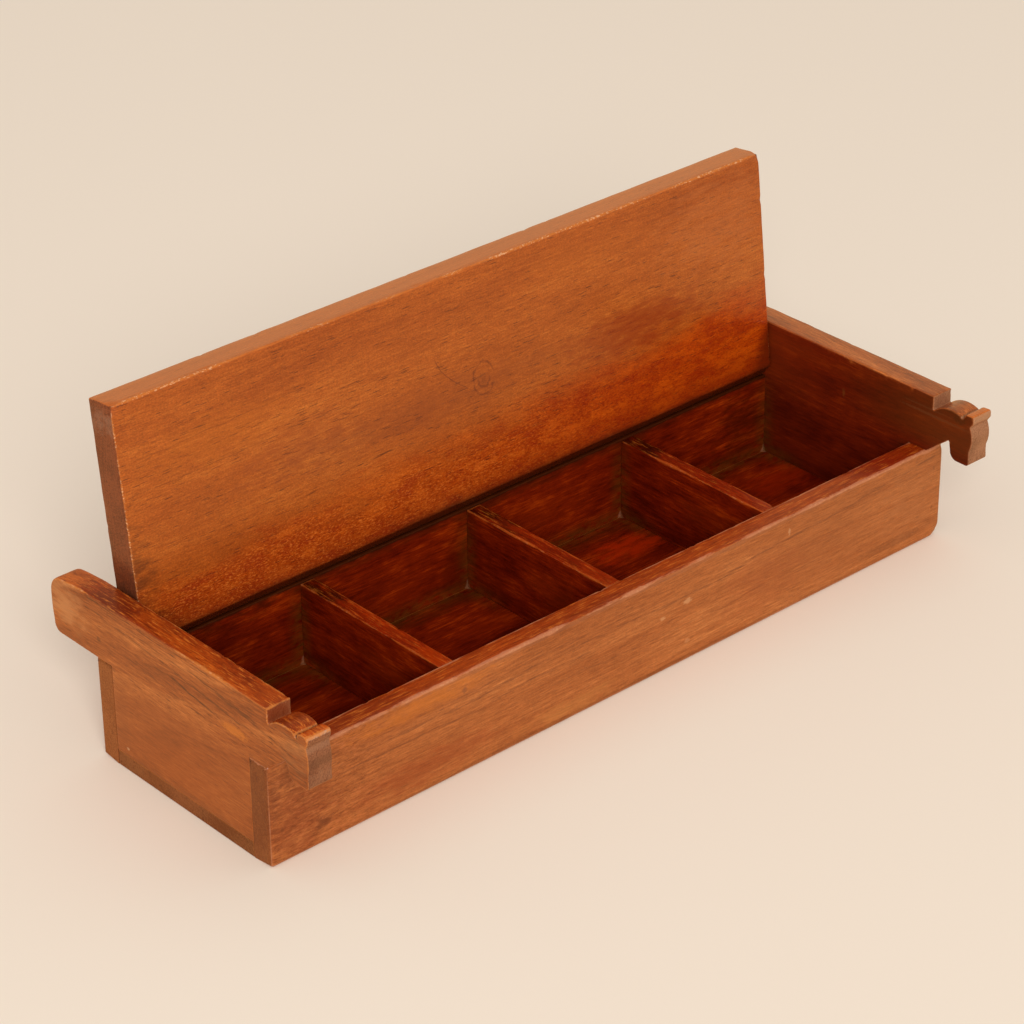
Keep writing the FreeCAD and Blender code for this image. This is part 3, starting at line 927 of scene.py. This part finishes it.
def endOutline(shape, low, high):
    # the whole end board, from the front board's upper edge round the nose, arm and panel
    front = frontLow.y
    top = high.z

    def onNose(name):
        forward, drop = shape[name]
        return complex(front - forward, top - drop)

    under = wallTop + shape["chinLift"]
    root = complex(front - shape["root"][0], wallTop + shape["root"][1])
    droop = complex(front - shape["droopReach"], under + shape["droopRound"])
    chin = onNose("chin")
    foot = complex(chin.real + shape["chinRound"], under)
    line = [complex(front, wallTop), root, droop]
    line += quarter(droop, -shape["droopRound"]) + [foot]
    line += quarter(foot, 1j * shape["chinRound"]) + [chin]
    line += arcThrough(chin, onNose("belly"), onNose("recess")) + [onNose("lip")]
    radius = shape["browRound"]
    brow = onNose("brow") - 1j * radius
    end = math.radians(shape["browEnd"])
    middle = (math.pi + end) / 2
    turns = [brow + radius * (1 + np.exp(1j * angle)) for angle in (middle, end)]
    line += [brow] + arcThrough(brow, *turns)
    browBack = onNose("browBack")
    line += [complex(browBack.real - 1.2, top - shape["brow"][1] - 0.2), browBack, onNose("groove")]
    hump = onNose("hump")
    notch = onNose("notch")
    line.append(hump)
    line += bulged(hump, notch, shape["humpBulge"]) + [complex(notch.real, top)]
    shoulder = complex(high.y - shape["shoulderBack"], top - shape["rearFall"])
    fall = complex(shoulder.real - shape["rearFallLength"], top)
    corner = complex(high.y, top - shape["shoulderDrop"])
    heel = complex(high.y - shape["rearTuck"], wallTop + shape["rearHeel"])
    line += [fall] + bulged(fall, shoulder, shape["rearFall"] / 4)
    line += bulged(shoulder, corner, shape["shoulderBulge"])
    line += bulged(corner, heel, shape["rearTuck"] / 2)
    line += quarter(heel, -shape["rearHeel"])
    line += [complex(y, z) for y, z in ((backHigh.y, wallTop), (backLow.y, wallTop), (backLow.y, low.z),
                                        (frontHigh.y, low.z), (frontHigh.y, wallTop))]
    return softened(evened(np.array(line)[::-1], 0.1), 0.22)


def armArris(y, z):
    # sharp in the joints below, rubbed rounder on the arm
    return 0.08 + 0.62 * min(1, max(0, (z - wallTop - 0.5) / 4))


def armWear(x, y, z):
    # less on the nose, and least down its front
    share = 0.62 if y < frontLow.y - 1 else 1.0
    if y < frontLow.y - 19 and wallTop + 5 < z < wallTop + 20:
        share = 0.22
    return share * (0.15 + 0.85 * min(1, max(0, (z - wallTop - 4) / 8)))


def faded(recipe, wood):
    # the arms' inner faces: browner towards the nose, where hands take them
    y, z = casePlace(recipe)[1:]
    ahead = recipe.step(y, 10, -58) * recipe.step(z, 36, 48) * recipe.inside
    recipe.paint(ahead * 0.6, (106, 52, 20))
    recipe.paint(recipe.inside * 0.5, (206, 236, 160), "MULTIPLY")
    calm = recipe.step(z, 44, 32) * (1.0 - recipe.inside) * 0.35
    recipe.paint(calm, (156, 76, 28))
    rear = recipe.step(y, -10, 40) * recipe.step(z, 34, 44) * recipe.inside
    recipe.paint(rear * 0.3, (150, 56, 14))


endWood = plainWood | {
    "turn": (0, 0, 90), "heart": (-60, 10), "taper": 0.10, "ringGap": 5.0, "innerFace": armFace,
    "fibreScale": 0.15, "contrast": 1.0, "fibrous": 0.95, "poreShare": 0.7,
    "poreSize": 0.26, "scratchy": 0.18, "topDull": 0.8, "checkScale": (0.3, 1.6, 0.20),
    "endTone": (142, 92, 64), "endDark": (104, 60, 42), "endShare": 0.85, "oldContrast": 0.55,
    "wearShare": 0.75, "rubShare": 0.8,
    "stops": [(108, 42, 10), (146, 68, 22), (165, 84, 32), (196, 114, 54)],
    "marks": [
        ((-30, 45.5), (8, 2.4), 0.50, (222, 124, 30)), ((-62, 52), (9, 9), 0.35, (132, 92, 62)),
        ((58, 50), (12, 8), 0.30, (196, 128, 74)), ((43.4, 46.6), (1.3, 1.2), 0.6, (84, 40, 20)),
        ((31, 9), (0.9, 0.7), 0.6, (232, 190, 150)), ((0, 18), (30, 12), 0.30, (168, 78, 16)),
        # the dark band low on the panel is partly painted shade at the foot, beside the bottom board's edge
        ((0, 5.2), (50, 4.6), 0.5, (102, 48, 20)), ((33, 20), (4.5, 22), 0.35, (122, 60, 28)),
        # at the nose: the dark spot in the groove and the darker hump top are painted shade, the bright brow
        # top a painted highlight
        ((-39, 20), (4, 20), 0.3, (128, 66, 30)), ((-61.9, 58.6), (1.0, 1.4), 0.8, (58, 22, 6)),
        ((-55, 61), (7, 2.2), 0.35, (104, 44, 16)), ((-66, 61), (2.6, 1.0), 0.6, (226, 128, 52)),
    ],
    "binMarks": [
        ((-50, 54.3), (20, 0.7), 0.35, (150, 92, 70)), ((-46, 56.6), (14, 0.5), 0.25, (150, 92, 70)),
        ((-4, 47), (0.8, 2.2), 0.4, (140, 78, 40)), ((20, 56), (40, 4), 0.25, (128, 44, 8)),
        ((24, 30), (20, 16), 0.35, (58, 8, 1)),
    ],
    "endMarks": [
        # down the nose's front: a painted highlight on the brow's edge, a painted reflection below the lip, a
        # band of painted shade and paler painted light on the belly
        ((-47.5, 59), (2.2, 4), 0.65, (134, 54, 18)), ((-67.4, 60.2), (1.3, 0.9), 0.6, (220, 178, 150)),
        ((-67, 55.6), (2.5, 1.6), 0.30, (166, 122, 94)), ((-67.5, 50.2), (2.5, 2.2), 0.45, (98, 58, 36)),
        ((-67.5, 44), (2.5, 3.0), 0.22, (158, 114, 86)),
    ],
    "lines": [
        ((-25, 5), (45.5, 51), 0.7, 0.8), ((-36, 12), (48.5, 55), 0.6, 0.7),
        ((-44, -4), (53, 58), 0.7, 0.7), ((-62, -20), (50, 55), 0.6, 0.7),
        ((-66, -30), (46, 50), 0.5, 0.5), ((-20, 30), (42, 47), 0.5, 0.5), ((10, 52), (54, 57), 0.6, 0.5),
        ((-10, 40), (56, 59), 0.5, 0.5),
    ],
}
rightShape = armShape | {
    "notch": (2.4, 5.8), "hump": (15.7, 3.2), "groove": (16.3, 4.2), "browBack": (17.0, 2.3),
    "brow": (21.8, 1.4), "recess": (20.3, 6.3), "belly": (21.5, 11.2), "chin": (20.4, 16.0),
    "chinLift": 1.1, "droopRound": 3.8,
}
sideWood = {
    "left": {
        "marks": endWood["marks"] + [
            # on the arm's top: the dark mark by the lid is painted reflection and shade of the lid, the pale
            # one at the rear a painted reflection of the room
            ((36, 62.6), (13, 1.6), 0.65, (98, 26, 3)), ((-40, 62.6), (9, 1.6), 0.4, (198, 108, 38)),
            ((64, 62), (11, 2.4), 0.75, (214, 132, 72)), ((64, 54), (14, 10), 0.55, (208, 138, 84)),
        ],
        "lines": endWood["lines"] + [((-46, 58), (60.8, 60.5), 0.4, 0.7)],
    },
    "right": {
        # the dark mark on the hump's top is painted shadow under the lip
        "marks": endWood["marks"] + [((-52.5, 60), (4, 2.6), 0.5, (104, 50, 24))],
        "endTone": (166, 118, 88), "endDark": (128, 84, 58), "wearShare": 0.18, "nickShare": 0.12,
        "topShare": 0.3, "rubShare": 0.4, "topDull": 0.0,
        "binMarks": endWood["binMarks"] + [
            # painted shade in the groove and along the hump's inner rim
            ((-61, 57.6), (3.6, 2.2), 0.8, (66, 20, 3)), ((-54.5, 59.6), (6, 1.2), 0.7, (78, 24, 4)),
        ],
        "endMarks": [
            ((-47.5, 59), (2.2, 4), 0.5, (146, 96, 68)),
            # a painted highlight on the brow, then a band of painted shade down the front
            ((-67.4, 59.6), (1.6, 2.4), 0.5, (184, 138, 104)),
            ((-67.5, 50.2), (2.5, 2.2), 0.25, (128, 82, 54)),
        ],
    },
}
for side, shape in (("left", armShape), ("right", rightShape)):
    low, high = nodeBox(side + "_end_board")
    wood = endWood | {"origin": (low.x, 0, 0)} | sideWood[side]
    makeBoard(plainBoard | {
        "name": side + "EndBoard", "node": side + "_end_board", "slot": "arm_wood",
        "outline": endOutline(shape, low, high), "x": (low.x, high.x),
        "arrisAt": armArris, "wearAt": armWear, "knocks": 14,
        "grain": "y", "stations": 1.0, "coarse": 1.6, "fine": 0.35, "seed": 20 + (side == "left"),
        "material": woodMaterial(side + "EndWood", wood, (faded,)),
    })

# The lid, drawn closed and swung open about its pins

lidPlan = {
    "thickness": 12.5,    # mm, as all but the lean are
    "lean": 6.3,          # degrees past upright, when open
    "heelFlat": 1.4,
    "heelReach": 5.99,    # behind the pins
    "width": 90.7,
}
pivot = Vector(frame["joints"][0]["pos_m"])
pinY, pinZ = pivot.y / mm, pivot.z / mm
lidLow, lidHigh = nodeBox("lid")
lidTop = lidPlan["heelReach"] - lidPlan["width"]    # the free edge, from the pins


def lidOutline(plan):
    rear = pinY + plan["heelReach"]
    front = rear - plan["width"]
    low = pinZ - plan["thickness"] / 2
    high = pinZ + plan["thickness"] / 2
    bevel = plan["heelReach"] - plan["heelFlat"]
    return rounded([(front, low, 0.6), (rear - bevel, low, 0.5), (rear, low + bevel, 0.5),
                    (rear, high, 0.3), (front, high, 0.8)])


swing = (Matrix.Translation(pivot) @ Matrix.Rotation(math.radians(-90 - lidPlan["lean"]), 4, "X")
         @ Matrix.Translation(-pivot))


def lidWear(x, y, z):
    # next to none on the heel, which stays hidden
    return 0.03 if y > pinY - 1 and z < pinZ + 3 else 1.0


def lidInside(recipe, parts):
    # the face that looks down into the bins when the lid is shut
    return recipe.step(parts[2], -lidPlan["thickness"] / 2 + 1.4, -lidPlan["thickness"] / 2 + 0.4)


def swirled(recipe, wood):
    # a small burr beside the middle, with the fine line that runs up from it
    x, y, z = recipe.parts(recipe.place)
    sway = recipe.cloud((0.5, 0.5, 0.5), 2.0, 0.5) - 0.5
    first = (x - 7.0) * (1 / 4.8) + sway * 0.35
    second = (y - (lidTop + 43.0)) * (1 / 6.2) + sway * 0.3
    circle = (first * first + second * second) ** 0.5
    ring = recipe.step(abs(circle - 1.0), 0.12, 0.02) * recipe.step(first - abs(second) * 0.6, 0.95, 0.55)
    ring = ring * (0.55 + sway * 1.4)
    inner = recipe.step(abs(circle - 0.55), 0.13, 0.03) * recipe.step(second, -0.2, 0.3)
    fleck = recipe.step(recipe.fibres, 0.06, 0.16) * recipe.step(circle, 0.8, 0.5)
    down = (y - (lidTop + 29.0)) * (1 / 15.0)
    clipped = recipe.node("ShaderNodeClamp", {}, {0: down})
    tail = abs(x + 14.0 - clipped ** 1.7 * 13.0 + sway * 0.8)
    tail = recipe.step(tail, 0.42, 0.08) * recipe.step(down, 0.0, 0.1) * recipe.step(down, 1.08, 1.0)
    knot = recipe.step(circle, 0.42, 0.12) * recipe.step(second, -0.25, 0.15) * 0.4
    mask = ring * 0.72 + inner * 0.42 + fleck * 0.45 + knot * 0.7 + tail * 0.48
    recipe.paint(mask * lidInside(recipe, (x, y, z)), (84, 26, 20))


def deepenedAndShaded(recipe, wood):
    # towards the hinge the varnish lies thick and deep, darkened further by painted shade from the box, with
    # pale specks of lifted fibre in it
    x, y, z = recipe.parts(recipe.place)
    fromEdge = y - lidTop
    loose = recipe.cloud((0.03, 0.12, 0.12), 3.0, 0.6) - 0.5
    deep = recipe.step(fromEdge + loose * 26.0 + x * 0.06, 54.0, 72.0) * lidInside(recipe, (x, y, z))
    # painted shade with the deeper varnish: the lid darker and redder towards the hinge
    recipe.paint(deep, (254, 216, 130), "MULTIPLY")
    blots = recipe.cloud((0.10, 0.24, 0.24), 3.0, 0.62)
    recipe.paint(recipe.step(blots, 0.50, 0.34) * deep * 0.5, (140, 34, 4))
    recipe.paint(recipe.step(blots, 0.50, 0.66) * deep * 0.40, (214, 104, 26))
    grit = recipe.cloud((0.75, 1.9, 1.9), 2.0, 0.7)
    specks = recipe.step(grit, 0.52, 0.68) * (deep * 0.75 + 0.12) * recipe.step(x, 220, -120)
    shadows = recipe.step(grit, 0.44, 0.32) * deep
    recipe.paint(specks * 0.70, (234, 126, 48))
    recipe.paint(shadows * 0.60, (116, 26, 2))
    recipe.height = recipe.height + specks * 0.02
    redder = deep * recipe.step(x, -20, 90)
    recipe.paint(redder, (254, 224, 120), "MULTIPLY")
    # painted shadow of the right arm over the lid's lower right corner
    corner = recipe.step(x + fromEdge * 0.55 + loose * 8.0, 183.0, 191.0) * deep
    recipe.paint(corner * 0.8, (84, 22, 3))
    # painted shade: darker still close to the back board
    near = recipe.step(fromEdge + loose * 8.0, 75.0, 87.0) * deep
    recipe.paint(near * 0.5, (116, 32, 3))
    edge = recipe.step(fromEdge, 1.2, 0.5)
    recipe.paint(edge * 0.3, (214, 120, 58))
    recipe.paint(edge, (255, 244, 196), "MULTIPLY")
    # painted shade on the heel's bevel, which faces down into the box
    heel = recipe.step(fromEdge + loose * 4.0, 84.0, 87.6) * recipe.step(z, 1.0, -1.5)
    recipe.paint(heel * 0.9, (66, 22, 4))
    recipe.dull = heel * 0.7 + deep * 0.25


lidWood = plainWood | {
    "turn": (-90 - lidPlan["lean"], 0, 0), "origin": (pivot.x / mm, pinY, pinZ), "heart": (-40, -160),
    "ringGap": 8.0, "binned": False, "markAxis": 1, "edge": lidTop, "markFace": lidInside,
    "fibrous": 0.32, "rippled": 1.1, "patchy": 0.45, "poreShare": 0.8, "poreSize": 0.26, "scratchy": 0.06,
    "stops": [(112, 38, 6), (155, 69, 15), (174, 85, 23), (206, 118, 42)], "streaky": 0.35,
    "poreGap": 0.13, "wearReach": 0.45, "wearShare": 0.6, "nickShare": 0.95, "endTone": (134, 68, 38),
    "endDark": (92, 43, 24), "endShare": 0.95,
    "marks": [
        ((-25, 45), (85, 9), 0.36, (128, 56, 24)), ((-76, 40), (30, 12), 0.35, (146, 62, 24)),
        ((82, 47), (40, 11), 0.7, (142, 48, 8)), ((-110, 25), (38, 12), 0.25, (196, 104, 20)),
        # the dark marks at x -146 and -149 are painted shadow of the left arm; the dark band at 89.5 is
        # painted shade along the heel
        ((-146, 84), (22, 10), 0.55, (66, 24, 6)), ((126, 20), (34, 22), 0.30, (190, 108, 56)),
        ((0, 89.5), (170, 7.5), 0.6, (80, 24, 4)), ((-149, 66), (10, 26), 0.66, (84, 38, 14)),
        ((60, 12), (40, 9), 0.2, (190, 98, 24)),
    ],
    "endMarks": [((-150, 78), (6, 22), 0.62, (72, 40, 28)), ((-150, 7), (6, 5), 0.16, (196, 160, 136))],
    "lines": [
        ((-48, -35), (55, 55), 0.45, 0.9), ((-81, -69), (59, 58.5), 0.4, 0.7),
        ((-10, 1), (13, 13.2), 0.45, 0.8), ((-140, -131), (27, 26.6), 0.45, 0.8),
        ((-148, -60), (34, 32), 0.35, 0.4), ((-145, -70), (22, 20), 0.35, 0.3),
    ],
}
makeBoard(plainBoard | {
    "name": "lidBoard", "node": "lid", "slot": "lid_wood", "body": "lid",
    "outline": lidOutline(lidPlan), "x": (lidLow.x, lidHigh.x),
    "arris": 0.6, "wearAt": lidWear, "knocks": 26, "seed": 31, "place": swing,
    "low": (-200, -200, -200), "high": (200, 200, 200),
    "dents": [(np.array((end, lidTop + pinY, pinZ - lidPlan["thickness"] / 2)), 4.5, 0.8)
              for end in (lidLow.x, lidHigh.x)],
    "material": woodMaterial("lidWood", lidWood, (deepenedAndShaded, swirled)),
})

# The pins keep their CAD shapes


def metalMaterial(name, dark, light, roughness):
    recipe = Recipe(name)
    recipe.place = recipe.node("ShaderNodeTexCoord", output="Object")
    spots = recipe.cloud((900, 900, 900), 4.0, 0.6)
    rust = recipe.step(spots, 0.35, 0.7)
    return recipe.surface({"Base Color": recipe.blend(rust, dark, light), "Metallic": 1.0 - rust * 0.6,
                           "Roughness": roughness + rust * 0.25, "Normal": recipe.bump(spots * 0.00003)})


pinSteel = metalMaterial("pinSteel", (150, 144, 136), (96, 78, 62), 0.35)
bradIron = metalMaterial("bradIron", (58, 44, 36), (84, 48, 28), 0.5)
for name in ("left_pivot_pin", "right_pivot_pin"):
    mesh = frame["nodes"][name].data
    mesh.materials.clear()
    mesh.materials.append(pinSteel)

# Brads: one fine nail, set by Geometry Nodes at each of its places

bradPlan = {
    "sizes": {"Head Radius": 1.0, "Head Depth": 0.5, "Shank Radius": 0.56, "Length": 17.9,
              "Tip Length": 2.6},    # mm
    "sides": 10,
    "rings": 36,
    "lean": 0.5,    # degrees out of square, at most
    "set": 0.4,     # mm below the wood's surface
}


def bradTree(plan):
    tree = bpy.data.node_groups.new("brads", "GeometryNodeTree")
    inputs = {"Places": "Geometry"} | {name: "Float" for name in plan["sizes"]}
    for name, kind in (inputs | {"Outward": "Vector", "Seed": "Int"}).items():
        socket = tree.interface.new_socket(name=name, in_out="INPUT", socket_type="NodeSocket" + kind)
        if kind == "Float":
            socket.default_value = plan["sizes"][name] * mm
    tree.interface.new_socket(name="Brads", in_out="OUTPUT", socket_type="NodeSocketGeometry")
    recipe = Recipe("brads", tree)

    def given(name):
        return recipe.node("NodeGroupInput", output=name)

    rod = recipe.node("GeometryNodeMeshCylinder", {"fill_type": "TRIANGLE_FAN"},
                      {"Vertices": plan["sides"], "Side Segments": plan["rings"],
                       "Radius": 1.0, "Depth": 1.0})
    x, y, z = recipe.parts(recipe.node("GeometryNodeInputPosition"))
    depth = (0.5 - z) * given("Length")
    inHead = depth.under(given("Head Depth") * 1.2)
    radius = given("Shank Radius") + inHead * (given("Head Radius") - given("Shank Radius"))
    pointed = (given("Length") - depth) / given("Tip Length") * 0.85 + 0.15
    radius = radius * pointed.least(1.0)
    shape = recipe.node("ShaderNodeCombineXYZ", {}, {0: x * radius, 1: y * radius, 2: 0.0 - depth})
    brad = recipe.node("GeometryNodeSetPosition", {}, {"Geometry": rod, "Position": shape})
    lean = math.radians(plan["lean"])
    loose = recipe.node("FunctionNodeRandomValue", {"data_type": "FLOAT_VECTOR"},
                        {"Min": (-lean, -lean, -math.pi), "Max": (lean, lean, math.pi),
                         "Seed": given("Seed")})
    loose = recipe.node("FunctionNodeEulerToRotation", {}, {0: loose})
    square = recipe.node("FunctionNodeAlignRotationToVector", {"axis": "Z"}, {"Vector": given("Outward")})
    turn = recipe.node("FunctionNodeRotateRotation", {"rotation_space": "LOCAL"}, {0: square, 1: loose})
    driven = recipe.node("GeometryNodeInstanceOnPoints", {},
                         {"Points": given("Places"), "Instance": brad, "Rotation": turn})
    whole = recipe.node("GeometryNodeRealizeInstances", {}, {"Geometry": driven})
    whole = recipe.node("GeometryNodeSetMaterial", {}, {"Geometry": whole, "Material": bradIron})
    recipe.node("NodeGroupOutput", {}, {"Brads": whole})
    return tree


def makeBrads(name, node, places, outward, seed):
    # places at the wood's surface; the heads lie a little below it
    points = bpy.data.meshes.new(name)
    sunk = Vector(outward) * bradPlan["set"]
    points.from_pydata([tuple((Vector(place) - sunk) * mm) for place in places], [], [])
    piece = bpy.data.objects.new(name, points)
    scene.collection.objects.link(piece)
    modifier = piece.modifiers.new("brads", "NODES")
    modifier.node_group = bradNodes
    sockets = {item.name: item.identifier for item in bradNodes.interface.items_tree}
    modifier[sockets["Outward"]] = outward
    modifier[sockets["Seed"]] = seed
    made = bpy.data.meshes.new_from_object(piece.evaluated_get(bpy.context.evaluated_depsgraph_get()))
    piece.modifiers.remove(modifier)
    piece.data = made
    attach(piece, "case")
    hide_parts(node)
    print("made", name, len(places), "brads,", len(made.polygons), "faces")


bradNodes = bradTree(bradPlan)
wallBrads = endBrads + dividerBrads
makeBrads("frontBrads", "front_brads", [(x, frontLow.y, z) for x, z in wallBrads], (0.0, -1.0, 0.0), 1)
makeBrads("backBrads", "back_brads", [(x, backHigh.y, z) for x, z in wallBrads], (0.0, 1.0, 0.0), 2)
makeBrads("bottomBrads", "bottom_brads", [(x, y, 0) for x, y in floorBrads], (0.0, 0.0, -1.0), 3)

# The floor, the light and the world

floorReach = 3.0       # m each way
floorDrop = -0.0001    # m, just clear of the box
keyLight = {
    "place": (-2.25, -3.15, 2.43),    # m
    "aim": (0, 0, 0.05),
    "size": 1.98,
    "power": 116,    # W
    "colour": (1.0, 0.945, 0.87),
}
roomTone = (0.60, 0.565, 0.51, 1.0)    # linear colours, both
roomWarmth = (0.86, 0.53, 0.27, 1.0)


def makeFloor():
    # pale to the camera, warmer where the varnish mirrors it
    mesh = bpy.data.meshes.new("floor")
    corners = [(-1, -1), (1, -1), (1, 1), (-1, 1)]
    mesh.from_pydata([(x * floorReach, y * floorReach, floorDrop) for x, y in corners], [], [(0, 1, 2, 3)])
    recipe = Recipe("floorPaint")
    seen = recipe.node("ShaderNodeLightPath", output="Is Camera Ray")
    mirrored = recipe.node("ShaderNodeLightPath", output="Is Glossy Ray")
    colour = recipe.blend(seen, (240, 229, 213), (252, 240, 228))
    colour = recipe.blend(mirrored, colour, (238, 184, 128))
    mesh.materials.append(recipe.surface({"Base Color": colour, "Roughness": 0.9, "Specular IOR Level": 0.1}))
    floor = bpy.data.objects.new("floor", mesh)
    scene.collection.objects.link(floor)


def makeLight(name, plan):
    data = bpy.data.lights.new(name, "AREA")
    data.shape = "DISK"
    data.size = plan["size"]
    data.energy = plan["power"]
    data.color = plan["colour"]
    light = bpy.data.objects.new(name, data)
    light.location = plan["place"]
    toward = Vector(plan["aim"]) - Vector(plan["place"])
    light.rotation_euler = toward.to_track_quat("-Z", "Y").to_euler()
    scene.collection.objects.link(light)


def makeWorld():
    # the room's soft light, warmer too where the varnish mirrors it
    world = bpy.data.worlds.new("room")
    scene.world = world
    world.use_nodes = True
    recipe = Recipe("room", world.node_tree)
    mirrored = recipe.node("ShaderNodeLightPath", output="Is Glossy Ray")
    colour = recipe.node("ShaderNodeMix", {"data_type": "RGBA"},
                         {0: mirrored, 6: roomTone, 7: roomWarmth}, output=2)
    light = recipe.node("ShaderNodeBackground", {}, {"Color": colour})
    recipe.node("ShaderNodeOutputWorld", {}, {"Surface": light})


makeFloor()
makeLight("keyLight", keyLight)
makeWorld()
scene.view_settings.view_transform = "Standard"
print("stage set")
